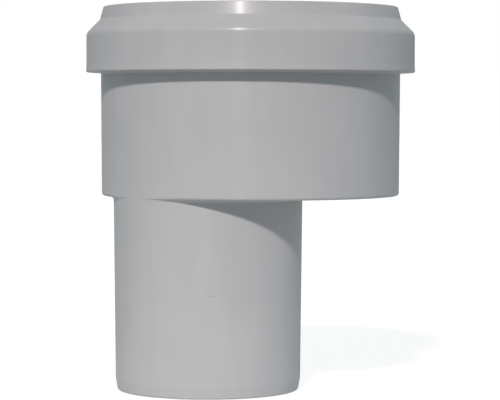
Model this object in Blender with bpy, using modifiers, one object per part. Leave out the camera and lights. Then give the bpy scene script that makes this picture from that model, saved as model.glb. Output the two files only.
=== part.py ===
"""Eccentric pipe reducer: a push-fit socket with a lip seal, stepped down to a smaller spigot off its axis.

Lengths are metres and +Z runs up the socket's axis. The origin is on that axis, level with the spigot's
end. The spigot stands off toward -X until its wall runs flush into the socket's wall, so XZ is the plane
of symmetry.
"""

import math
from dataclasses import dataclass

import bmesh
import bpy

MM = 0.001
SEGMENTS = 96
WELD_DISTANCE = 0.0001 * MM
SHARP_ANGLE = math.radians(40)

# The larger pipe, which every round size of the socket and its seal follows
PIPE_RADIUS = 37.5 * MM

# Spigot, the lower and smaller end
SPIGOT_LENGTH = 52.0 * MM
SPIGOT_END_RADIUS = 24.9 * MM
SPIGOT_DRAFT = 0.52 * MM
SPIGOT_END_WALL = 1.9 * MM
SPIGOT_CHAMFER_LENGTH = 3.2 * MM
SPIGOT_CHAMFER_ANGLE = math.radians(10)
SPIGOT_CHAMFER_BEND = 6.0 * MM
SPIGOT_ROOT_FILLET = 1.0 * MM
SPIGOT_EDGE_BEND = 0.7 * MM
BORE_EDGE_BEND = 0.15 * MM

# Floor, the eccentric step between spigot and socket
FLOOR_THICKNESS = 2.6 * MM
FLOOR_EDGE_BEND = 0.8 * MM
FLOOR_INNER_FILLET = 1.0 * MM
BORE_MOUTH_BEND = 1.0 * MM
BORE_LEDGE = 0.3 * MM

# Barrel, the straight wall of the socket that the larger pipe slides into
BARREL_HEIGHT = 33.5 * MM
BARREL_CLEARANCE = 0.52 * MM
BARREL_DRAFT = 0.21 * MM
BARREL_WALL = 2.6 * MM

# Bead, the wider band that holds the seal
BEAD_HEIGHT = 10.6 * MM
BEAD_DRAFT = 0.15 * MM
BEAD_WALL = 2.3 * MM
BEAD_ROOT_FILLET = 0.7 * MM
BEAD_LOWER_BEND = 0.4 * MM
BEAD_UPPER_BEND = 2.1 * MM
GROOVE_DEPTH = 4.22 * MM
GROOVE_LIP_BEND = 0.4 * MM
GROOVE_LOWER_BEND = 0.5 * MM
GROOVE_UPPER_BEND = 0.8 * MM

# Shoulder and neck, from the bead up to the mouth
SHOULDER_ANGLE = math.radians(45)
SHOULDER_BEND = 1.0 * MM
SHOULDER_WALL = 2.2 * MM
MOUTH_CLEARANCE = 1.15 * MM
NECK_HEIGHT = 3.55 * MM
NECK_TAPER = math.radians(15)
NECK_WALL = 2.45 * MM
NECK_INNER_BEND = 1.2 * MM
MOUTH_CHAMFER_HEIGHT = 1.4 * MM
MOUTH_CHAMFER_WIDTH = 0.7 * MM
RIM_OUTER_BEND = 0.35 * MM
RIM_INNER_BEND = 0.2 * MM

# Lip seal, a loose rubber ring in the bead's groove
SEAL_CLEARANCE = 0.3 * MM
SEAL_FOOT_WIDTH = 2.8 * MM
SEAL_HEAD_WIDTH = 1.6 * MM
SEAL_HEAD_DROP = 1.4 * MM
SEAL_FOOT_BEND = 0.6 * MM
SEAL_HEAD_BEND = 0.7 * MM
SEAL_SHOULDER_BEND = 1.0 * MM
SEAL_THROAT_HEIGHT = 5.4 * MM
SEAL_THROAT_UNDERCUT = 0.5 * MM
SEAL_THROAT_BEND = 0.45 * MM
LIP_SQUEEZE = 1.1 * MM
LIP_TIP_HEIGHT = 1.8 * MM
LIP_TIP_WIDTH = 1.2 * MM
LIP_TIP_BEND = 0.45 * MM

# Radii that follow from the sizes above
SOCKET_FLOOR_RADIUS = PIPE_RADIUS + BARREL_CLEARANCE
SOCKET_TOP_RADIUS = SOCKET_FLOOR_RADIUS + BARREL_DRAFT
BARREL_BOTTOM_RADIUS = SOCKET_FLOOR_RADIUS + BARREL_WALL
BARREL_TOP_RADIUS = SOCKET_TOP_RADIUS + BARREL_WALL
GROOVE_RADIUS = SOCKET_TOP_RADIUS + GROOVE_DEPTH
BEAD_TOP_RADIUS = GROOVE_RADIUS + BEAD_WALL
BEAD_BOTTOM_RADIUS = BEAD_TOP_RADIUS + BEAD_DRAFT
NECK_INNER_RADIUS = PIPE_RADIUS + MOUTH_CLEARANCE
NECK_ROOT_RADIUS = NECK_INNER_RADIUS + NECK_WALL
RIM_RADIUS = NECK_ROOT_RADIUS - NECK_HEIGHT * math.tan(NECK_TAPER)
LIP_TIP_RADIUS = PIPE_RADIUS - LIP_SQUEEZE
SPIGOT_ROOT_RADIUS = SPIGOT_END_RADIUS + SPIGOT_DRAFT
ECCENTRICITY = BARREL_BOTTOM_RADIUS - SPIGOT_ROOT_RADIUS
BORE_ROOT_RADIUS = SOCKET_FLOOR_RADIUS - ECCENTRICITY - BORE_LEDGE
BORE_END_RADIUS = SPIGOT_END_RADIUS - SPIGOT_END_WALL

# Heights that follow from the sizes above
FLOOR_TOP = SPIGOT_LENGTH + FLOOR_THICKNESS
BEAD_BOTTOM = SPIGOT_LENGTH + BARREL_HEIGHT
BEAD_TOP = BEAD_BOTTOM + BEAD_HEIGHT
GROOVE_FLOOR = BEAD_BOTTOM + BEAD_WALL
SHOULDER_TOP = BEAD_TOP + (BEAD_TOP_RADIUS - NECK_ROOT_RADIUS) / math.tan(SHOULDER_ANGLE)
RIM_HEIGHT = SHOULDER_TOP + NECK_HEIGHT

# Axes, as places on X
SOCKET_AXIS = 0.0
SPIGOT_AXIS = SOCKET_AXIS - ECCENTRICITY
LOFT_POLE = (SOCKET_AXIS + SPIGOT_AXIS) / 2


@dataclass(frozen=True)
class Bend:
    """A corner of a section, rounded to the given radius."""

    radius: float
    height: float
    bend: float = 0.0
    steps: int = 3


def rounded(corners, closed=False):
    """Turn corners into (radius, height) points, with an arc tangent to both sides at each bend."""
    points = []
    for index, corner in enumerate(corners):
        at_end = index in (0, len(corners) - 1) and not closed
        if at_end or corner.bend == 0:
            points.append((corner.radius, corner.height))
            continue
        before = corners[index - 1]
        after = corners[(index + 1) % len(corners)]
        inward = math.atan2(before.height - corner.height, before.radius - corner.radius)
        outward = math.atan2(after.height - corner.height, after.radius - corner.radius)
        half_opening = math.remainder(outward - inward, math.tau) / 2
        reach = corner.bend / math.sin(abs(half_opening))
        bisector = inward + half_opening
        centre_radius = corner.radius + reach * math.cos(bisector)
        centre_height = corner.height + reach * math.sin(bisector)
        swing = math.copysign(math.pi / 2 - abs(half_opening), half_opening)
        for step in range(corner.steps + 1):
            angle = bisector + math.pi + swing * (1 - 2 * step / corner.steps)
            arc_radius = centre_radius + corner.bend * math.cos(angle)
            points.append((arc_radius, centre_height + corner.bend * math.sin(angle)))
    return points


def from_pole(radius, axis, turn):
    """Distance from the loft's pole, in the direction turn, to a circle of this radius about this axis."""
    offset = axis - LOFT_POLE
    return offset * math.cos(turn) + math.sqrt(radius**2 - (offset * math.sin(turn)) ** 2)


def placed(points, axis, turn):
    """Section points of walls round one axis, with each radius turned into a distance from the pole."""
    return [(from_pole(radius, axis, turn), height) for radius, height in points]


def ledge(wall_radius, wall_bend, pipe_radius, pipe_bend, height, turn, steps=3):
    """Section across a flat ledge, from the socket's wall in to the spigot's, in the direction turn.

    Both bends keep their height and give up width where the two circles close in, so that the walls run
    into each other where the circles touch.
    """
    wall = from_pole(wall_radius, SOCKET_AXIS, turn)
    pipe = from_pole(pipe_radius, SPIGOT_AXIS, turn)
    wall_reach = wall - from_pole(wall_radius - wall_bend, SOCKET_AXIS, turn)
    pipe_reach = from_pole(pipe_radius + pipe_bend, SPIGOT_AXIS, turn) - pipe
    room = min(1.0, max(0.0, wall - pipe) / (wall_reach + pipe_reach))
    quarter = [math.pi / 2 * step / steps for step in range(steps + 1)]
    at_wall = [
        (
            wall - room * wall_reach * (1 - math.cos(angle)),
            height + wall_bend * (1 - math.sin(angle)),
        )
        for angle in quarter
    ]
    at_pipe = [
        (
            pipe + room * pipe_reach * (1 - math.sin(angle)),
            height - pipe_bend * (1 - math.cos(angle)),
        )
        for angle in quarter
    ]
    return at_wall + at_pipe


def mouth_and_groove():
    """Inside of the socket, from the rim's inner edge down to the barrel."""
    wall_offset = SHOULDER_WALL / math.sin(SHOULDER_ANGLE)
    slope = math.tan(SHOULDER_ANGLE)
    inner_shoulder_top = SHOULDER_TOP - wall_offset + (NECK_ROOT_RADIUS - NECK_INNER_RADIUS) / slope
    inner_shoulder_foot = inner_shoulder_top - (GROOVE_RADIUS - NECK_INNER_RADIUS) / slope
    chamfer_foot = RIM_HEIGHT - MOUTH_CHAMFER_HEIGHT
    return rounded(
        [
            Bend((RIM_RADIUS + NECK_INNER_RADIUS + MOUTH_CHAMFER_WIDTH) / 2, RIM_HEIGHT),
            Bend(NECK_INNER_RADIUS + MOUTH_CHAMFER_WIDTH, RIM_HEIGHT, RIM_INNER_BEND, 2),
            Bend(NECK_INNER_RADIUS, chamfer_foot),
            Bend(NECK_INNER_RADIUS, inner_shoulder_top, NECK_INNER_BEND, 2),
            Bend(GROOVE_RADIUS, inner_shoulder_foot, GROOVE_UPPER_BEND, 1),
            Bend(GROOVE_RADIUS, GROOVE_FLOOR, GROOVE_LOWER_BEND, 1),
            Bend(SOCKET_TOP_RADIUS, GROOVE_FLOOR, GROOVE_LIP_BEND, 2),
            Bend(SOCKET_FLOOR_RADIUS, FLOOR_TOP),
        ]
    )[:-1]


def bore_and_spigot():
    """The spigot's own walls, from the foot of the bore's mouth down, round the end and up to the root."""
    end_radius = SPIGOT_END_RADIUS - SPIGOT_CHAMFER_LENGTH * math.tan(SPIGOT_CHAMFER_ANGLE)
    return rounded(
        [
            Bend(BORE_ROOT_RADIUS, FLOOR_TOP),
            Bend(BORE_END_RADIUS, 0.0, BORE_EDGE_BEND, 1),
            Bend(end_radius, 0.0, SPIGOT_EDGE_BEND, 3),
            Bend(SPIGOT_END_RADIUS, SPIGOT_CHAMFER_LENGTH, SPIGOT_CHAMFER_BEND, 2),
            Bend(SPIGOT_ROOT_RADIUS, SPIGOT_LENGTH),
        ]
    )[1:-1]


def bead_and_neck():
    """Outside of the socket, from the barrel up to the rim."""
    return rounded(
        [
            Bend(BARREL_BOTTOM_RADIUS, SPIGOT_LENGTH),
            Bend(BARREL_TOP_RADIUS, BEAD_BOTTOM, BEAD_ROOT_FILLET, 2),
            Bend(BEAD_BOTTOM_RADIUS, BEAD_BOTTOM, BEAD_LOWER_BEND, 2),
            Bend(BEAD_TOP_RADIUS, BEAD_TOP, BEAD_UPPER_BEND, 3),
            Bend(NECK_ROOT_RADIUS, SHOULDER_TOP, SHOULDER_BEND, 3),
            Bend(RIM_RADIUS, RIM_HEIGHT, RIM_OUTER_BEND, 2),
            Bend((RIM_RADIUS + NECK_INNER_RADIUS + MOUTH_CHAMFER_WIDTH) / 2, RIM_HEIGHT),
        ]
    )[1:-1]


def body_section(turn):
    """The moulding's closed section from the loft's pole outward, in the direction turn."""
    inner_floor = ledge(
        SOCKET_FLOOR_RADIUS, FLOOR_INNER_FILLET, BORE_ROOT_RADIUS, BORE_MOUTH_BEND, FLOOR_TOP, turn
    )
    underside = ledge(
        BARREL_BOTTOM_RADIUS,
        FLOOR_EDGE_BEND,
        SPIGOT_ROOT_RADIUS,
        SPIGOT_ROOT_FILLET,
        SPIGOT_LENGTH,
        turn,
    )
    return (
        placed(mouth_and_groove(), SOCKET_AXIS, turn)
        + inner_floor
        + placed(bore_and_spigot(), SPIGOT_AXIS, turn)
        + underside[::-1]
        + placed(bead_and_neck(), SOCKET_AXIS, turn)
    )


def seal_section():
    """Section of the lip seal: a foot in the groove, and a lip that leans in and down toward the pipe."""
    foot_height = GROOVE_FLOOR + SEAL_CLEARANCE
    back_radius = GROOVE_RADIUS - SEAL_CLEARANCE
    slope = math.tan(SHOULDER_ANGLE)
    wall_and_gap = (SHOULDER_WALL + SEAL_CLEARANCE) / math.sin(SHOULDER_ANGLE)
    back_top = SHOULDER_TOP - wall_and_gap - (back_radius - NECK_ROOT_RADIUS) / slope
    head_radius = back_radius - SEAL_HEAD_WIDTH
    head_top = back_top + SEAL_HEAD_WIDTH / slope
    inner_radius = back_radius - SEAL_FOOT_WIDTH
    tip_height = foot_height + LIP_TIP_HEIGHT
    return rounded(
        [
            Bend(back_radius, foot_height, SEAL_FOOT_BEND, 2),
            Bend(back_radius, back_top, SEAL_SHOULDER_BEND, 2),
            Bend(head_radius, head_top, SEAL_HEAD_BEND, 2),
            Bend(inner_radius, head_top - SEAL_HEAD_DROP),
            Bend(LIP_TIP_RADIUS, tip_height, LIP_TIP_BEND, 2),
            Bend(LIP_TIP_RADIUS + LIP_TIP_WIDTH, tip_height, LIP_TIP_BEND, 2),
            Bend(
                inner_radius + SEAL_THROAT_UNDERCUT,
                foot_height + SEAL_THROAT_HEIGHT,
                SEAL_THROAT_BEND,
                2,
            ),
            Bend(inner_radius, foot_height, SEAL_FOOT_BEND, 2),
        ],
        closed=True,
    )


def plain_material(name, color, roughness):
    """Give a plastic or rubber its colour and roughness."""
    material = bpy.data.materials.new(name)
    material.use_nodes = True
    shader = material.node_tree.nodes["Principled BSDF"]
    shader.inputs["Base Color"].default_value = (*color, 1.0)
    shader.inputs["Roughness"].default_value = roughness
    shader.inputs["Metallic"].default_value = 0.0
    return material


def add_object(name, mesh, material):
    """Link a mesh into the scene under its own name, smooth but for its real edges."""
    thing = bpy.data.objects.new(name, mesh)
    bpy.context.scene.collection.objects.link(thing)
    mesh.materials.append(material)
    mesh.shade_smooth()
    mesh.set_sharp_from_angle(angle=SHARP_ANGLE)
    return thing


def loft_round(name, section_at):
    """Skin a closed section that changes as it turns once round the loft's pole."""
    shape = bmesh.new()
    slices = []
    for step in range(SEGMENTS):
        turn = math.tau * step / SEGMENTS
        slices.append(
            [
                shape.verts.new(
                    (LOFT_POLE + distance * math.cos(turn), distance * math.sin(turn), height)
                )
                for distance, height in section_at(turn)
            ]
        )
    for near, far in zip(slices, slices[1:] + slices[:1]):
        corners = zip(near, near[1:] + near[:1], far[1:] + far[:1], far)
        for quad in corners:
            shape.faces.new(quad)
    bmesh.ops.remove_doubles(shape, verts=shape.verts, dist=WELD_DISTANCE)
    bmesh.ops.recalc_face_normals(shape, faces=shape.faces)
    mesh = bpy.data.meshes.new(name)
    shape.to_mesh(mesh)
    shape.free()
    return mesh


def turned_profile(name, points):
    """A closed wire in the XZ plane, ready for a Screw modifier."""
    shape = bmesh.new()
    corners = [shape.verts.new((radius, 0.0, height)) for radius, height in points]
    for start, end in zip(corners, corners[1:] + corners[:1]):
        shape.edges.new((start, end))
    mesh = bpy.data.meshes.new(name)
    shape.to_mesh(mesh)
    shape.free()
    return mesh


def build_body():
    """One moulding: spigot, eccentric floor, socket barrel, bead and neck."""
    grey = plain_material("grey_polypropylene", (0.42, 0.42, 0.43), 0.4)
    return add_object("reducer_body", loft_round("reducer_body", body_section), grey)


def build_seal():
    """The loose rubber ring that grips the larger pipe."""
    black = plain_material("black_rubber", (0.02, 0.02, 0.021), 0.6)
    seal = add_object("lip_seal", turned_profile("lip_seal", seal_section()[::-1]), black)
    turn = seal.modifiers.new("turn", "SCREW")
    turn.axis = "Z"
    turn.angle = math.tau
    turn.steps = SEGMENTS
    turn.render_steps = SEGMENTS
    turn.use_merge_vertices = True
    turn.merge_threshold = WELD_DISTANCE
    turn.use_smooth_shade = True
    return seal


def main():
    for thing in list(bpy.data.objects):
        bpy.data.objects.remove(thing)
    build_body()
    build_seal()


if __name__ == "__main__":
    main()
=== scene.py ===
"""Eccentric pipe reducer, dressed: a push-fit socket stepped down to a smaller spigot off its axis.

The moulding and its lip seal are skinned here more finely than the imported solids, from the same sizes,
and get their plastic and rubber. Lengths are metres, +Z runs up the socket's axis, and the origin is on
that axis, level with the spigot's end.
"""

import logging
import math
from dataclasses import dataclass, field
from enum import Enum
from typing import Callable, Mapping, Optional, Sequence, Union

import bmesh
import bpy
from mathutils import Matrix, Vector


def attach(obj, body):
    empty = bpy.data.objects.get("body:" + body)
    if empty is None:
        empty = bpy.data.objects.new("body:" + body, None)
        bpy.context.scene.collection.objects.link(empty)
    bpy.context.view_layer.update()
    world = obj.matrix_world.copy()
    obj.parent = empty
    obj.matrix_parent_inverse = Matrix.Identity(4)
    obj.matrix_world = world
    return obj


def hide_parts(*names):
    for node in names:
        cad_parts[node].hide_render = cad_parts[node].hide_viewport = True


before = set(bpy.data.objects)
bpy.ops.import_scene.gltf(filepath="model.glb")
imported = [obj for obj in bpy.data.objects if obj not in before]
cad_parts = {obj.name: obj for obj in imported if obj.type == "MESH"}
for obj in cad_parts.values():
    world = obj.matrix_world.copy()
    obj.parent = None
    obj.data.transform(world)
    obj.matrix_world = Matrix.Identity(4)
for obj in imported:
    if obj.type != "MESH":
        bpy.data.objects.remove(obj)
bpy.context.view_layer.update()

MM = 0.001
MICRON = 0.001 * MM
WELD_DISTANCE = 0.1 * MICRON
QUARTER_TURN = math.pi / 2
UP = (0.0, 0.0, 1.0)
NOISE_MEAN = 0.5
BLACK = (0.0, 0.0, 0.0, 1.0)
WHITE = (1.0, 1.0, 1.0, 1.0)

log = logging.getLogger("reducer")

Point = tuple[float, float]
Colour = tuple[float, float, float]
Operand = Union["Value", float]


class Slot(Enum):
    """The record's material slots."""

    GREY_PLASTIC = "grey_plastic"
    BLACK_RUBBER = "black_rubber"


class Solid(Enum):
    """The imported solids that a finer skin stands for."""

    REDUCER_BODY = "reducer_body"
    LIP_SEAL = "lip_seal"


class MixKind(Enum):
    """What a Mix node blends, with the places of its two inputs and its output."""

    NUMBER = ("FLOAT", 2, 3, 0)
    COLOUR = ("RGBA", 6, 7, 2)


class Value:
    """A number that a node gives, which takes part in Python expressions."""

    def __init__(self, graph: "Graph", socket: bpy.types.NodeSocket) -> None:
        """Wrap a socket.

        Args:
            graph: The node tree that the socket is in.
            socket: The output socket that gives the number.
        """
        self.graph = graph
        self.socket = socket

    def __add__(self, other: Operand) -> "Value":
        """Add a number or another value."""
        return self.graph.math("ADD", self, other)

    def __radd__(self, other: Operand) -> "Value":
        """Add to a plain number."""
        return self.graph.math("ADD", other, self)

    def __sub__(self, other: Operand) -> "Value":
        """Take away a number or another value."""
        return self.graph.math("SUBTRACT", self, other)

    def __rsub__(self, other: Operand) -> "Value":
        """Take this value away from a plain number."""
        return self.graph.math("SUBTRACT", other, self)

    def __mul__(self, other: Operand) -> "Value":
        """Multiply by a number or another value."""
        return self.graph.math("MULTIPLY", self, other)

    def __rmul__(self, other: Operand) -> "Value":
        """Multiply a plain number."""
        return self.graph.math("MULTIPLY", other, self)

    def __abs__(self) -> "Value":
        """Give the value without its sign."""
        return self.graph.math("ABSOLUTE", self)

    def step(self, start: float, end: float) -> "Value":
        """Ease from 0 at start to 1 at end.

        Args:
            start: The value that gives 0.
            end: The value that gives 1.

        Returns:
            The eased value, between 0 and 1.
        """
        eased = self.graph.node(
            "ShaderNodeMapRange",
            {"interpolation_type": "SMOOTHSTEP"},
            {"Value": self, "From Min": start, "From Max": end},
        )
        return Value(self.graph, eased.outputs["Result"])


class Graph:
    """The node tree of one material or world."""

    def __init__(self, owner: Union[bpy.types.Material, bpy.types.World]) -> None:
        """Start an empty node tree.

        Args:
            owner: The material or world that the nodes belong to.
        """
        owner.use_nodes = True
        self.tree = owner.node_tree
        self.tree.nodes.clear()

    def node(
        self,
        kind: str,
        settings: Optional[Mapping[str, object]] = None,
        inputs: Optional[Mapping[Union[str, int], object]] = None,
    ) -> bpy.types.Node:
        """Make any node, set it, and then fill or link its inputs.

        Args:
            kind: The node's type.
            settings: The node's own settings, by name.
            inputs: Values or sockets, by the input's name or place.

        Returns:
            The new node.
        """
        made = self.tree.nodes.new(kind)
        for name, setting in (settings or {}).items():
            setattr(made, name, setting)
        for name, source in (inputs or {}).items():
            source = source.socket if isinstance(source, Value) else source
            if isinstance(source, bpy.types.NodeSocket):
                self.tree.links.new(source, made.inputs[name])
            else:
                made.inputs[name].default_value = source
        return made

    def math(self, operation: str, *operands: Operand) -> Value:
        """Combine numbers.

        Args:
            operation: The Math node's operation.
            operands: Plain numbers or values.

        Returns:
            The result as a value.
        """
        made = self.node("ShaderNodeMath", {"operation": operation}, dict(enumerate(operands)))
        return Value(self, made.outputs[0])

    def mix(self, kind: MixKind, factor: Operand, low: object, high: object) -> bpy.types.NodeSocket:
        """Blend two numbers or two colours.

        Args:
            kind: What is blended.
            factor: 0 for low, 1 for high.
            low: The number, colour or socket at 0.
            high: The number, colour or socket at 1.

        Returns:
            The socket of the blend.
        """
        data_type, low_place, high_place, output = kind.value
        made = self.node(
            "ShaderNodeMix", {"data_type": data_type}, {0: factor, low_place: low, high_place: high}
        )
        return made.outputs[output]

    def noise(self, place: bpy.types.NodeSocket, grain: float, detail: float, softness: float) -> Value:
        """Cloudy noise.

        Args:
            place: The coordinates, in metres.
            grain: The size of one blotch, in metres.
            detail: How many finer layers are added.
            softness: How strong each finer layer is.

        Returns:
            The noise, about 0.5 on average.
        """
        made = self.node(
            "ShaderNodeTexNoise",
            {"noise_dimensions": "3D"},
            {"Vector": place, "Scale": 1 / grain, "Detail": detail, "Roughness": softness},
        )
        return Value(self, made.outputs["Fac"])

    def stretched(self, place: bpy.types.NodeSocket, scale: Sequence[float]) -> bpy.types.NodeSocket:
        """Scale coordinates along each axis."""
        made = self.node(
            "ShaderNodeVectorMath", {"operation": "MULTIPLY"}, {0: place, 1: tuple(scale)}
        )
        return made.outputs["Vector"]

    def part(self, place: bpy.types.NodeSocket, direction: Sequence[float]) -> Value:
        """Distance of a place along a direction."""
        made = self.node(
            "ShaderNodeVectorMath", {"operation": "DOT_PRODUCT"}, {0: place, 1: tuple(direction)}
        )
        return Value(self, made.outputs["Value"])

    def length(self, place: bpy.types.NodeSocket) -> Value:
        """Distance of a place from the origin."""
        made = self.node("ShaderNodeVectorMath", {"operation": "LENGTH"}, {0: place})
        return Value(self, made.outputs["Value"])

    def tinted(self, amount: Value, colour: Colour, under: object) -> bpy.types.NodeSocket:
        """Add some of a colour to the colour under it.

        Args:
            amount: How much of the colour is added.
            colour: The colour at an amount of 1.
            under: The colour or socket that it is added to.

        Returns:
            The socket of the sum.
        """
        made = self.node(
            "ShaderNodeVectorMath", {"operation": "MULTIPLY_ADD"}, {0: amount, 1: colour, 2: under}
        )
        return made.outputs["Vector"]

    def object_place(self) -> bpy.types.NodeSocket:
        """Coordinates of the piece itself, in metres."""
        return self.node("ShaderNodeTexCoord").outputs["Object"]

    def shown(self) -> Value:
        """Where the white backdrop shows: to the eye, in a gloss and through something clear."""
        rays = self.node("ShaderNodeLightPath").outputs
        to_eye, in_gloss, through = (
            Value(self, rays[kind])
            for kind in ("Is Camera Ray", "Is Glossy Ray", "Is Transmission Ray")
        )
        return to_eye + in_gloss + through

    def surface(self, inputs: Mapping[Union[str, int], object]) -> None:
        """End the tree in a Principled surface.

        Args:
            inputs: The surface's values and links, by name.
        """
        shader = self.node("ShaderNodeBsdfPrincipled", None, inputs)
        self.node("ShaderNodeOutputMaterial", None, {"Surface": shader.outputs["BSDF"]})

    def relief(self, height: Value, depth: float) -> bpy.types.NodeSocket:
        """Turn a height into a normal.

        Args:
            height: The height, between 0 and 1.
            depth: The height in metres that 1 stands for.

        Returns:
            The bumped normal.
        """
        made = self.node("ShaderNodeBump", None, {"Strength": 1.0, "Distance": depth, "Height": height})
        return made.outputs["Normal"]


@dataclass(frozen=True)
class GreyPolypropylene:
    """Moulded grey plastic, half glossy, with faint flow clouds and the painted shade of a small nick on
    the spigot.

    The mould was turned, so its finest rings spread a highlight up and down and leave it narrow across.
    That gloss is a trace of metal, because a trace of metal hardly grows toward the edges. A thin film
    over it makes the wider gleam.
    """

    light_grey: Colour = (0.432, 0.430, 0.432)
    dark_grey: Colour = (0.408, 0.408, 0.412)
    # Painted shade: the dark grey that stands in for the shade in the nick's dent.
    nick_shade_grey: Colour = (0.16, 0.16, 0.165)
    index: float = 1.49
    roughness: float = 0.235
    metal_trace: float = 0.018
    turned_grain: float = 0.96
    grain_turn: float = 0.25
    film_weight: float = 0.18
    film_index: float = 1.7
    film_roughness: float = 0.30
    cloud_size: float = 22 * MM
    cloud_share: float = 0.65
    flow_range: tuple[float, float] = (0.35, 0.65)
    streak_stretch: tuple[float, float, float] = (1.0, 1.0, 0.12)
    streak_size: float = 3.5 * MM
    haze_size: float = 6.0 * MM
    haze_roughness: float = 0.05
    peel_size: float = 1.3 * MM
    peel_depth: float = 3.0 * MICRON
    grain_size: float = 0.22 * MM
    grain_share: float = 0.12
    # Where the nick's painted shade lies, how wide it is and how strong it is.
    nick_place: tuple[float, float, float] = (-0.0308, -0.0198, 0.0271)
    nick_across: tuple[float, float, float] = (0.749, -0.663, 0.0)
    nick_width: float = 2.9 * MM
    nick_height: float = 0.48 * MM
    nick_reach: float = 3.0 * MM
    nick_shade_strength: float = 0.21

    def material(self) -> bpy.types.Material:
        """Make the plastic.

        Returns:
            The material, named for the finish.
        """
        made = bpy.data.materials.new("grey_polypropylene_moulding")
        graph = Graph(made)
        place = graph.object_place()
        clouds = graph.noise(place, self.cloud_size, detail=3.0, softness=0.5)
        drawn = graph.stretched(place, self.streak_stretch)
        streaks = graph.noise(drawn, self.streak_size, detail=2.0, softness=0.5)
        haze = graph.noise(place, self.haze_size, detail=4.0, softness=0.6)
        peel = graph.noise(place, self.peel_size, detail=2.0, softness=0.4)
        grain = graph.noise(place, self.grain_size, detail=2.0, softness=0.5)
        mingled = self.cloud_share * clouds + (1 - self.cloud_share) * streaks
        flow = mingled.step(*self.flow_range)
        grey = graph.mix(MixKind.COLOUR, flow, (*self.dark_grey, 1.0), (*self.light_grey, 1.0))
        # Painted shade of the nick, mixed into the colour.
        painted_nick_shade = self.painted_nick_shade(graph, place)
        nick_shaded = graph.mix(MixKind.COLOUR, painted_nick_shade, grey, (*self.nick_shade_grey, 1.0))
        graph.surface(
            {
                "Base Color": nick_shaded,
                "Roughness": self.roughness + self.haze_roughness * (haze - NOISE_MEAN),
                "IOR": self.index,
                "Metallic": self.metal_trace,
                "Specular IOR Level": 0.0,
                "Anisotropic": self.turned_grain,
                "Anisotropic Rotation": self.grain_turn,
                "Coat Weight": self.film_weight,
                "Coat Roughness": self.film_roughness,
                "Coat IOR": self.film_index,
                "Normal": graph.relief(peel + self.grain_share * grain, self.peel_depth),
            }
        )
        return made

    def painted_nick_shade(self, graph: Graph, place: bpy.types.NodeSocket) -> Value:
        """Painted shade of a small nick on the spigot: a short dark streak in the colour, not a dent in
        the surface.

        Args:
            graph: The material's node tree.
            place: The coordinates of the piece.

        Returns:
            How dark the nick's painted shade is at each place, from 0 to 1.
        """
        across = Vector(self.nick_across)
        centre = Vector(self.nick_place)
        outward = Vector((across.y, -across.x, 0.0))
        aside = abs(graph.part(place, across) - across.dot(centre))
        above = abs(graph.part(place, UP) - centre.z)
        behind = graph.part(place, outward) - outward.dot(centre)
        width = aside.step(self.nick_width / 2, self.nick_width / 4)
        height = above.step(self.nick_height / 2, self.nick_height / 6)
        near_side = abs(behind).step(self.nick_reach, self.nick_reach / 2)
        return self.nick_shade_strength * width * height * near_side


@dataclass(frozen=True)
class BlackRubber:
    """Moulded rubber, matte, with a fine grain and a trace of talc."""

    base: Colour = (0.020, 0.020, 0.021)
    talc: Colour = (0.055, 0.055, 0.054)
    index: float = 1.52
    roughness: float = 0.55
    talc_size: float = 2.5 * MM
    talc_range: tuple[float, float] = (0.5, 0.8)
    talc_roughness: float = 0.15
    grain_size: float = 0.18 * MM
    grain_depth: float = 5.0 * MICRON

    def material(self) -> bpy.types.Material:
        """Make the rubber.

        Returns:
            The material, named for the finish.
        """
        made = bpy.data.materials.new("black_rubber_ring")
        graph = Graph(made)
        place = graph.object_place()
        dust = graph.noise(place, self.talc_size, detail=5.0, softness=0.65)
        grain = graph.noise(place, self.grain_size, detail=2.0, softness=0.5)
        powder = dust.step(*self.talc_range)
        graph.surface(
            {
                "Base Color": graph.mix(
                    MixKind.COLOUR, powder, (*self.base, 1.0), (*self.talc, 1.0)
                ),
                "Roughness": self.roughness + self.talc_roughness * powder,
                "IOR": self.index,
                "Normal": graph.relief(grain, self.grain_depth),
            }
        )
        return made


@dataclass(frozen=True)
class PalePaper:
    """The studio's floor: a sheet of white paper on a grey table.

    All of it is white to the eye but for the shadow. The sheet is small, so it lights the lower parts
    of the object more than the upper ones.
    """

    lighting: float = 0.95
    table: float = 0.38
    sheet_radius: float = 150 * MM
    sheet_fade: float = 0.25
    seen: float = 0.22
    glow: float = 0.89

    def material(self) -> bpy.types.Material:
        """Make the paper.

        Returns:
            The material, named for the finish.
        """
        made = bpy.data.materials.new("pale_paper")
        graph = Graph(made)
        shown = graph.shown()
        away = graph.length(graph.object_place())
        on_sheet = away.step(
            self.sheet_radius * (1 + self.sheet_fade), self.sheet_radius * (1 - self.sheet_fade)
        )
        lighting = graph.mix(MixKind.NUMBER, on_sheet, self.table, self.lighting)
        grey = graph.mix(MixKind.COLOUR, shown, lighting, (self.seen, self.seen, self.seen, 1.0))
        glow = graph.mix(MixKind.COLOUR, shown, BLACK, WHITE)
        graph.surface(
            {
                "Base Color": grey,
                "Roughness": 1.0,
                "Specular IOR Level": 0.0,
                "Emission Color": glow,
                "Emission Strength": self.glow,
            }
        )
        return made


@dataclass(frozen=True)
class Bend:
    """A corner of a section, rounded to the given radius."""

    radius: float
    height: float
    bend: float = 0.0
    steps: int = 8


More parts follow.
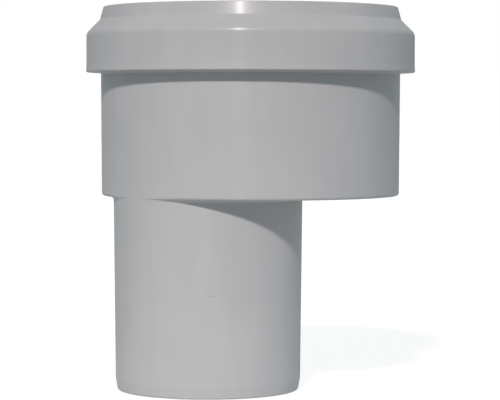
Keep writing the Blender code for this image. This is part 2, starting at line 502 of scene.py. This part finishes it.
def rounded(corners: Sequence[Bend], closed: bool = False) -> list[Point]:
    """Turn corners into points, with an arc tangent to both sides at each bend.

    Args:
        corners: The section's corners in order.
        closed: Whether the last corner joins the first.

    Returns:
        (radius, height) points in the same order.
    """
    points: list[Point] = []
    for index, corner in enumerate(corners):
        at_end = index in (0, len(corners) - 1) and not closed
        if at_end or corner.bend == 0:
            points.append((corner.radius, corner.height))
            continue
        before = corners[index - 1]
        after = corners[(index + 1) % len(corners)]
        inward = math.atan2(before.height - corner.height, before.radius - corner.radius)
        outward = math.atan2(after.height - corner.height, after.radius - corner.radius)
        half_opening = math.remainder(outward - inward, math.tau) / 2
        reach = corner.bend / math.sin(abs(half_opening))
        bisector = inward + half_opening
        centre_radius = corner.radius + reach * math.cos(bisector)
        centre_height = corner.height + reach * math.sin(bisector)
        swing = math.copysign(QUARTER_TURN - abs(half_opening), half_opening)
        for step in range(corner.steps + 1):
            angle = bisector + math.pi + swing * (1 - 2 * step / corner.steps)
            points.append(
                (
                    centre_radius + corner.bend * math.cos(angle),
                    centre_height + corner.bend * math.sin(angle),
                )
            )
    return points


def between(start: Bend, end: Bend, count: int) -> list[Bend]:
    """Plain corners spaced evenly inside a straight run.

    Args:
        start: The run's first corner.
        end: The run's last corner.
        count: How many corners to make.

    Returns:
        The corners, without the two ends.
    """
    shares = [step / (count + 1) for step in range(1, count + 1)]
    return [
        Bend(
            start.radius + (end.radius - start.radius) * share,
            start.height + (end.height - start.height) * share,
        )
        for share in shares
    ]


def skin(
    name: str, segments: int, pole: float, section_at: Callable[[float], list[Point]]
) -> bpy.types.Object:
    """Skin a closed section that may change as it turns once round a pole.

    Args:
        name: The new object's name.
        segments: How many sections go round.
        pole: The pole's place on the X axis.
        section_at: Gives the section's (distance, height) points for a turn in radians.

    Returns:
        The object, smooth, with each face's normals weighted by its size.
    """
    shape = bmesh.new()
    slices = []
    for step in range(segments):
        turn = math.tau * step / segments
        slices.append(
            [
                shape.verts.new((pole + distance * math.cos(turn), distance * math.sin(turn), height))
                for distance, height in section_at(turn)
            ]
        )
    for near, far in zip(slices, slices[1:] + slices[:1]):
        for quad in zip(near, near[1:] + near[:1], far[1:] + far[:1], far):
            shape.faces.new(quad)
    bmesh.ops.remove_doubles(shape, verts=shape.verts, dist=WELD_DISTANCE)
    bmesh.ops.recalc_face_normals(shape, faces=shape.faces)
    mesh = bpy.data.meshes.new(name)
    shape.to_mesh(mesh)
    shape.free()
    mesh.shade_smooth()
    thing = bpy.data.objects.new(name, mesh)
    bpy.context.scene.collection.objects.link(thing)
    weighted = thing.modifiers.new("weighted normals", "WEIGHTED_NORMAL")
    weighted.mode = "FACE_AREA"
    return thing


def seat(piece: bpy.types.Object, solid: Solid, material: bpy.types.Material) -> None:
    """Dress a piece, and let it ride in place of its solid.

    Args:
        piece: The finer skin.
        solid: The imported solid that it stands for.
        material: The material that it wears.
    """
    piece.data.materials.append(material)
    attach(piece, "root")
    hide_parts(solid.value)
    log.info("%s: %d faces, in place of %s", piece.name, len(piece.data.polygons), solid.value)


@dataclass
class Mouldings:
    """Sizes that the moulding and its seal share."""

    spigot_length: float = 52.0 * MM
    barrel_height: float = 33.5 * MM
    bead_height: float = 10.6 * MM
    bead_wall: float = 2.3 * MM
    bead_top_radius: float = 44.78 * MM
    shoulder_angle: float = math.radians(45)
    shoulder_wall: float = 2.2 * MM
    neck_root_radius: float = 41.1 * MM
    segments: int = 256

    @property
    def bead_bottom(self) -> float:
        """Height of the bead's lower edge."""
        return self.spigot_length + self.barrel_height

    @property
    def bead_top(self) -> float:
        """Height of the bead's upper corner."""
        return self.bead_bottom + self.bead_height

    @property
    def shoulder_top(self) -> float:
        """Height at which the shoulder meets the neck."""
        rise = self.bead_top_radius - self.neck_root_radius
        return self.bead_top + rise / math.tan(self.shoulder_angle)

    @property
    def groove_floor(self) -> float:
        """Height of the ledge that the seal sits on."""
        return self.bead_bottom + self.bead_wall

    @property
    def groove_radius(self) -> float:
        """Radius of the groove's wall behind the seal."""
        return self.bead_top_radius - self.bead_wall


@dataclass
class ReducerBody:
    """The one moulding: spigot, eccentric floor, socket barrel, bead, shoulder and neck."""

    shared: Mouldings
    finish: GreyPolypropylene = field(default_factory=GreyPolypropylene)
    spigot_end_radius: float = 24.9 * MM
    spigot_root_radius: float = 25.42 * MM
    spigot_end_wall: float = 1.9 * MM
    chamfer_length: float = 3.2 * MM
    chamfer_angle: float = math.radians(10)
    chamfer_bend: float = 6.0 * MM
    spigot_root_fillet: float = 1.0 * MM
    spigot_edge_bend: float = 0.7 * MM
    bore_edge_bend: float = 0.15 * MM
    floor_thickness: float = 2.6 * MM
    floor_edge_bend: float = 0.8 * MM
    floor_inner_fillet: float = 1.0 * MM
    spigot_rings: int = 7
    bore_mouth_bend: float = 1.0 * MM
    bore_ledge: float = 0.3 * MM
    barrel_bottom_radius: float = 40.62 * MM
    barrel_top_radius: float = 40.83 * MM
    barrel_wall: float = 2.6 * MM
    barrel_rings: int = 6
    bead_foot_radius: float = 44.9 * MM
    bead_foot_height: float = 2.0 * MM
    bead_root_fillet: float = 0.7 * MM
    bead_lower_bend: float = 0.4 * MM
    bead_foot_bend: float = 4.0 * MM
    bead_upper_bend: float = 2.1 * MM
    groove_lip_bend: float = 0.4 * MM
    groove_lower_bend: float = 0.5 * MM
    groove_upper_bend: float = 0.8 * MM
    shoulder_bend: float = 1.0 * MM
    rim_height: float = 103.3 * MM
    neck_taper: float = math.radians(15)
    neck_wall: float = 2.45 * MM
    neck_inner_bend: float = 1.2 * MM
    lead_in_height: float = 1.4 * MM
    lead_in_width: float = 0.7 * MM
    lead_in_bend: float = 0.8 * MM
    rim_outer_bend: float = 0.35 * MM
    rim_inner_bend: float = 0.2 * MM

    @property
    def spigot_axis(self) -> float:
        """Place of the spigot's axis on X: its wall runs flush into the barrel's."""
        return self.spigot_root_radius - self.barrel_bottom_radius

    @property
    def pole(self) -> float:
        """Place of the skin's pole, half way between the two axes."""
        return self.spigot_axis / 2

    @property
    def floor_top(self) -> float:
        """Height of the floor inside the socket."""
        return self.shared.spigot_length + self.floor_thickness

    @property
    def socket_floor_radius(self) -> float:
        """Inner radius of the barrel at its floor."""
        return self.barrel_bottom_radius - self.barrel_wall

    @property
    def bore_root_radius(self) -> float:
        """Radius of the bore where it leaves the floor."""
        return self.socket_floor_radius + self.spigot_axis - self.bore_ledge

    @property
    def rim_radius(self) -> float:
        """Outer radius of the neck at the rim."""
        neck_height = self.rim_height - self.shared.shoulder_top
        return self.shared.neck_root_radius - neck_height * math.tan(self.neck_taper)

    @property
    def neck_inner_radius(self) -> float:
        """Inner radius of the neck."""
        return self.shared.neck_root_radius - self.neck_wall

    def from_pole(self, radius: float, axis: float, turn: float) -> float:
        """Distance from the pole to a circle.

        Args:
            radius: The circle's radius.
            axis: The place of its centre on X.
            turn: The direction from the pole, in radians.

        Returns:
            The distance in metres.
        """
        offset = axis - self.pole
        aside = offset * math.sin(turn)
        return offset * math.cos(turn) + math.sqrt(radius**2 - aside**2)

    def placed(self, points: Sequence[Point], axis: float, turn: float) -> list[Point]:
        """Turn radii about one axis into distances from the pole."""
        return [(self.from_pole(radius, axis, turn), height) for radius, height in points]

    def ledge(self, wall: Bend, pipe: Bend, turn: float) -> list[Point]:
        """Section across a flat ledge, from the socket's wall in to the spigot's.

        Both bends keep their height and give up width where the two circles close in, so that the walls
        run into each other where the circles touch.

        Args:
            wall: The socket's wall at the ledge, and its bend.
            pipe: The spigot's wall at the ledge, and its bend.
            turn: The direction from the pole, in radians.

        Returns:
            (distance, height) points, from the socket's wall inward.
        """
        outer = self.from_pole(wall.radius, 0.0, turn)
        inner = self.from_pole(pipe.radius, self.spigot_axis, turn)
        outer_reach = outer - self.from_pole(wall.radius - wall.bend, 0.0, turn)
        inner_reach = self.from_pole(pipe.radius + pipe.bend, self.spigot_axis, turn) - inner
        room = min(1.0, max(0.0, outer - inner) / (outer_reach + inner_reach))
        points: list[Point] = []
        for step in range(wall.steps + 1):
            angle = QUARTER_TURN * step / wall.steps
            points.append(
                (
                    outer - room * outer_reach * (1 - math.cos(angle)),
                    wall.height + wall.bend * (1 - math.sin(angle)),
                )
            )
        for step in range(pipe.steps + 1):
            angle = QUARTER_TURN * step / pipe.steps
            points.append(
                (
                    inner + room * inner_reach * (1 - math.sin(angle)),
                    pipe.height - pipe.bend * (1 - math.cos(angle)),
                )
            )
        return points

    def mouth_and_groove(self) -> list[Point]:
        """Inside of the socket, from the rim's inner edge down to the barrel."""
        shared = self.shared
        wall_offset = shared.shoulder_wall / math.sin(shared.shoulder_angle)
        slope = math.tan(shared.shoulder_angle)
        inner_top = shared.shoulder_top - wall_offset + self.neck_wall / slope
        inner_foot = inner_top - (shared.groove_radius - self.neck_inner_radius) / slope
        edge_radius = self.neck_inner_radius + self.lead_in_width
        groove_lip = Bend(
            self.barrel_top_radius - self.barrel_wall, shared.groove_floor, self.groove_lip_bend
        )
        floor_foot = Bend(self.socket_floor_radius, self.floor_top)
        lead_in_foot = self.rim_height - self.lead_in_height
        return rounded(
            [
                Bend((self.rim_radius + edge_radius) / 2, self.rim_height),
                Bend(edge_radius, self.rim_height, self.rim_inner_bend, steps=4),
                Bend(self.neck_inner_radius, lead_in_foot, self.lead_in_bend, steps=4),
                Bend(self.neck_inner_radius, inner_top, self.neck_inner_bend, steps=6),
                Bend(shared.groove_radius, inner_foot, self.groove_upper_bend, steps=5),
                Bend(shared.groove_radius, shared.groove_floor, self.groove_lower_bend, steps=5),
                groove_lip,
                *between(groove_lip, floor_foot, self.barrel_rings),
                floor_foot,
            ]
        )[:-1]

    def bore_and_spigot(self) -> list[Point]:
        """The spigot's own walls: down the bore, round the end and up the outside to the root."""
        shoulder = Bend(self.spigot_end_radius, self.chamfer_length, self.chamfer_bend)
        root = Bend(self.spigot_root_radius, self.shared.spigot_length)
        bore_root = Bend(self.bore_root_radius, self.floor_top)
        bore_end_radius = self.spigot_end_radius - self.spigot_end_wall
        bore_end = Bend(bore_end_radius, 0.0, self.bore_edge_bend, steps=4)
        end_radius = self.spigot_end_radius - self.chamfer_length * math.tan(self.chamfer_angle)
        return rounded(
            [
                bore_root,
                *between(bore_root, bore_end, self.spigot_rings),
                bore_end,
                Bend(end_radius, 0.0, self.spigot_edge_bend, steps=5),
                shoulder,
                *between(shoulder, root, self.spigot_rings),
                root,
            ]
        )[1:-1]

    def bead_and_neck(self) -> list[Point]:
        """Outside of the socket, from the barrel up to the rim."""
        shared = self.shared
        foot = Bend(self.barrel_bottom_radius, shared.spigot_length)
        root = Bend(self.barrel_top_radius, shared.bead_bottom, self.bead_root_fillet, steps=6)
        foot_top = shared.bead_bottom + self.bead_foot_height
        edge_radius = self.neck_inner_radius + self.lead_in_width
        return rounded(
            [
                foot,
                *between(foot, root, self.barrel_rings),
                root,
                Bend(self.bead_foot_radius, shared.bead_bottom, self.bead_lower_bend, steps=6),
                Bend(shared.bead_top_radius, foot_top, self.bead_foot_bend, steps=4),
                Bend(shared.bead_top_radius, shared.bead_top, self.bead_upper_bend, steps=10),
                Bend(shared.neck_root_radius, shared.shoulder_top, self.shoulder_bend, steps=10),
                Bend(self.rim_radius, self.rim_height, self.rim_outer_bend, steps=6),
                Bend((self.rim_radius + edge_radius) / 2, self.rim_height),
            ]
        )[1:-1]

    def section(self, turn: float) -> list[Point]:
        """The moulding's closed section from the pole outward.

        Args:
            turn: The direction from the pole, in radians.

        Returns:
            (distance, height) points, in order round the section.
        """
        length = self.shared.spigot_length
        inner_floor = self.ledge(
            Bend(self.socket_floor_radius, self.floor_top, self.floor_inner_fillet, steps=6),
            Bend(self.bore_root_radius, self.floor_top, self.bore_mouth_bend, steps=6),
            turn,
        )
        underside = self.ledge(
            Bend(self.barrel_bottom_radius, length, self.floor_edge_bend, steps=8),
            Bend(self.spigot_root_radius, length, self.spigot_root_fillet, steps=8),
            turn,
        )
        return (
            self.placed(self.mouth_and_groove(), 0.0, turn)
            + inner_floor
            + self.placed(self.bore_and_spigot(), self.spigot_axis, turn)
            + underside[::-1]
            + self.placed(self.bead_and_neck(), 0.0, turn)
        )

    def build(self) -> bpy.types.Object:
        """Skin the moulding.

        Returns:
            The moulding's object, still bare.
        """
        return skin("reducer_moulding", self.shared.segments, self.pole, self.section)

    def dress(self, piece: bpy.types.Object) -> None:
        """Give the moulding its plastic, and seat it."""
        seat(piece, Solid.REDUCER_BODY, self.finish.material())


@dataclass
class LipSeal:
    """The loose rubber ring in the bead's groove, with a lip that leans in and down toward the pipe."""

    shared: Mouldings
    finish: BlackRubber = field(default_factory=BlackRubber)
    clearance: float = 0.3 * MM
    foot_width: float = 2.8 * MM
    head_width: float = 1.6 * MM
    head_drop: float = 1.4 * MM
    foot_bend: float = 0.6 * MM
    head_bend: float = 0.7 * MM
    shoulder_bend: float = 1.0 * MM
    throat_height: float = 5.4 * MM
    throat_undercut: float = 0.5 * MM
    throat_bend: float = 0.45 * MM
    root_bend: float = 0.8 * MM
    tip_radius: float = 36.4 * MM
    tip_height: float = 1.8 * MM
    tip_width: float = 1.2 * MM
    tip_bend: float = 0.45 * MM

    def section(self, turn: float) -> list[Point]:
        """The ring's closed section, the same all round.

        Args:
            turn: The direction from the axis, which the ring doesn't depend on.

        Returns:
            (radius, height) points, in order round the section.
        """
        shared = self.shared
        foot_height = shared.groove_floor + self.clearance
        back_radius = shared.groove_radius - self.clearance
        slope = math.tan(shared.shoulder_angle)
        wall_and_gap = (shared.shoulder_wall + self.clearance) / math.sin(shared.shoulder_angle)
        fall = (back_radius - shared.neck_root_radius) / slope
        back_top = shared.shoulder_top - wall_and_gap - fall
        head_radius = back_radius - self.head_width
        head_top = back_top + self.head_width / slope
        inner_radius = back_radius - self.foot_width
        tip = foot_height + self.tip_height
        throat = foot_height + self.throat_height
        return rounded(
            [
                Bend(back_radius, foot_height, self.foot_bend, steps=5),
                Bend(back_radius, back_top, self.shoulder_bend, steps=5),
                Bend(head_radius, head_top, self.head_bend, steps=6),
                Bend(inner_radius, head_top - self.head_drop, self.root_bend, steps=5),
                Bend(self.tip_radius, tip, self.tip_bend, steps=7),
                Bend(self.tip_radius + self.tip_width, tip, self.tip_bend, steps=5),
                Bend(inner_radius + self.throat_undercut, throat, self.throat_bend, steps=6),
                Bend(inner_radius, foot_height, self.foot_bend, steps=5),
            ],
            closed=True,
        )

    def build(self) -> bpy.types.Object:
        """Skin the ring.

        Returns:
            The ring's object, still bare.
        """
        return skin("lip_ring", self.shared.segments, 0.0, self.section)

    def dress(self, piece: bpy.types.Object) -> None:
        """Give the ring its rubber, and seat it."""
        seat(piece, Solid.LIP_SEAL, self.finish.material())


@dataclass
class Viewpoint:
    """The camera, by its place round the object and its aim."""

    azimuth: float = math.radians(-41.5)
    distance: float = 618.2 * MM
    height: float = 75.37 * MM
    pitch: float = math.radians(2.29)
    yaw: float = 0.00016
    roll: float = 0.0017
    lens: float = 162.475
    sensor: float = 36.0

    def build(self) -> bpy.types.Object:
        """Make the camera and choose it for the scene.

        Returns:
            The camera.
        """
        data = bpy.data.cameras.new("viewpoint")
        data.lens = self.lens
        data.sensor_width = self.sensor
        data.sensor_fit = "HORIZONTAL"
        camera = bpy.data.objects.new("viewpoint", data)
        bpy.context.scene.collection.objects.link(camera)
        place = (
            self.distance * math.sin(self.azimuth),
            -self.distance * math.cos(self.azimuth),
            self.height,
        )
        camera.matrix_world = (
            Matrix.Translation(place)
            @ Matrix.Rotation(self.azimuth + self.yaw, 4, "Z")
            @ Matrix.Rotation(QUARTER_TURN - self.pitch, 4, "X")
            @ Matrix.Rotation(self.roll, 4, "Z")
        )
        bpy.context.scene.camera = camera
        log.info("camera at %s", tuple(round(number, 4) for number in place))
        return camera


@dataclass(frozen=True)
class SoftLight:
    """A wide pale area of the surroundings, such as a window or a wall.

    Its turn is from the camera's direction toward the camera's left, and its rise is above level ground.
    """

    turn: float
    rise: float
    level: float


@dataclass
class Studio:
    """A pale floor, one lamp high in front, and soft light from the areas round it.

    Each soft light is full at its middle and fades to nothing at the angle whose cosine is soft_edge.
    """

    viewpoint: Viewpoint
    paper: PalePaper = field(default_factory=PalePaper)
    floor_width: float = 8.0
    floor_drop: float = 0.1 * MM
    lamp_aside: float = math.radians(-9)
    lamp_elevation: float = math.radians(37.2)
    lamp_colour: Colour = (1.0, 0.921, 0.915)
    lamp_strength: float = 2.82
    lamp_spread: float = math.radians(5.0)
    soft_colour: Colour = (0.8, 1.08, 1.17)
    soft_edge: float = 0.35
    soft_lights: tuple[SoftLight, ...] = (
        SoftLight(math.radians(-120), math.radians(45), 0.117),
        SoftLight(math.radians(-60), math.radians(45), 0.095),
        SoftLight(math.radians(-100), math.radians(5), 0.36),
        SoftLight(math.radians(0), math.radians(0), 0.18),
        SoftLight(math.radians(60), math.radians(10), 0.28),
        SoftLight(math.radians(120), math.radians(5), 0.27),
        SoftLight(math.radians(180), math.radians(10), 0.23),
    )

    def facing(self) -> Vector:
        """Level direction from the object to the camera."""
        azimuth = self.viewpoint.azimuth
        return Vector((math.sin(azimuth), -math.cos(azimuth), 0.0))

    def build_floor(self) -> bpy.types.Object:
        """Lay the paper.

        Returns:
            The floor.
        """
        shape = bmesh.new()
        bmesh.ops.create_grid(shape, x_segments=1, y_segments=1, size=self.floor_width / 2)
        mesh = bpy.data.meshes.new("paper_floor")
        shape.to_mesh(mesh)
        shape.free()
        mesh.materials.append(self.paper.material())
        floor = bpy.data.objects.new("paper_floor", mesh)
        floor.location.z = -self.floor_drop
        bpy.context.scene.collection.objects.link(floor)
        return floor

    def build_lamp(self) -> bpy.types.Object:
        """Hang the lamp.

        Returns:
            The lamp.
        """
        data = bpy.data.lights.new("studio_lamp", "SUN")
        data.energy = self.lamp_strength
        data.color = self.lamp_colour
        data.angle = self.lamp_spread
        lamp = bpy.data.objects.new("studio_lamp", data)
        azimuth = self.viewpoint.azimuth + self.lamp_aside
        lamp.rotation_euler = (QUARTER_TURN - self.lamp_elevation, 0.0, azimuth)
        bpy.context.scene.collection.objects.link(lamp)
        return lamp

    def toward(self, turn: float, rise: float) -> Vector:
        """Direction from the object to a place in the surroundings.

        Args:
            turn: The place's turn from the camera's direction toward the camera's left.
            rise: The place's rise above level ground.

        Returns:
            The direction, one metre long.
        """
        facing = self.facing()
        left = Vector((facing.y, -facing.x, 0.0))
        level = facing * math.cos(turn) + left * math.sin(turn)
        return level * math.cos(rise) + Vector(UP) * math.sin(rise)

    def build_surroundings(self) -> bpy.types.World:
        """Light the object from the soft areas round it.

        Returns:
            The world, which the camera sees as white.
        """
        world = bpy.data.worlds.new("studio_surroundings")
        graph = Graph(world)
        direction = graph.node("ShaderNodeTexCoord").outputs["Generated"]
        glow: object = (0.0, 0.0, 0.0)
        for light in self.soft_lights:
            aim = self.toward(light.turn, light.rise)
            amount = light.level * graph.part(direction, aim).step(self.soft_edge, 1.0)
            glow = graph.tinted(amount, self.soft_colour, glow)
        shown = graph.shown()
        seen = graph.mix(MixKind.COLOUR, shown, glow, WHITE)
        background = graph.node("ShaderNodeBackground", None, {"Color": seen, "Strength": 1.0})
        graph.node("ShaderNodeOutputWorld", None, {"Surface": background.outputs["Background"]})
        bpy.context.scene.world = world
        return world

    def build(self) -> None:
        """Set up the floor, the lamp and the surroundings."""
        self.build_floor()
        self.build_lamp()
        self.build_surroundings()
        bpy.context.scene.view_settings.view_transform = "Standard"
        log.info("studio built")


def main() -> None:
    """Build the camera, the studio and each piece in order."""
    logging.basicConfig(level=logging.INFO, format="%(name)s: %(message)s")
    viewpoint = Viewpoint()
    viewpoint.build()
    Studio(viewpoint).build()
    shared = Mouldings()
    for part in (ReducerBody(shared), LipSeal(shared)):
        part.dress(part.build())


if __name__ == "__main__":
    main()
